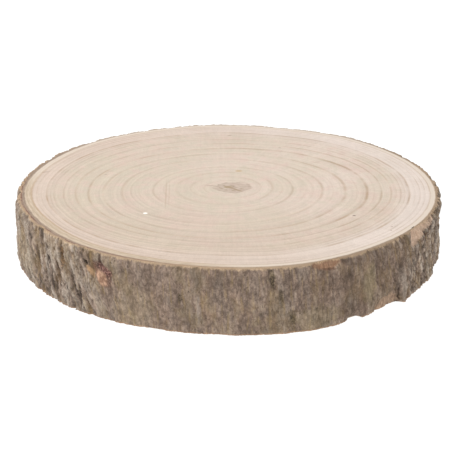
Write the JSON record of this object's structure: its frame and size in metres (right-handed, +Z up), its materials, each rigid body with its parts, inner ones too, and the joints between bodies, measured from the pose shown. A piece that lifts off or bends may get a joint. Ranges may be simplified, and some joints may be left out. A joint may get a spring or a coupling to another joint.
{
  "type": "wood slice",
  "caption": "Thick round slice sawn across a young tree trunk, flat on both cut faces, with pale ringed wood and its rough grey-brown bark left on.",
  "frame": {"origin": "centre of the lower saw cut's bounding box, on the surface that the slice rests on", "axes": "+Z up the trunk, through the thickness; -Y towards the side with the healed branch wound at its left and the loose bark flake at its right; +X to the right seen from there"},
  "size_m": [0.299, 0.3032, 0.045],
  "materials": {
    "wood_and_bark": "sanded bare end grain with faint rings on the cut faces, dry grey-brown bark round the wall"
  },
  "bodies": {
    "root": {"wood_slice": "wood_and_bark"}
  },
  "joints": []
}
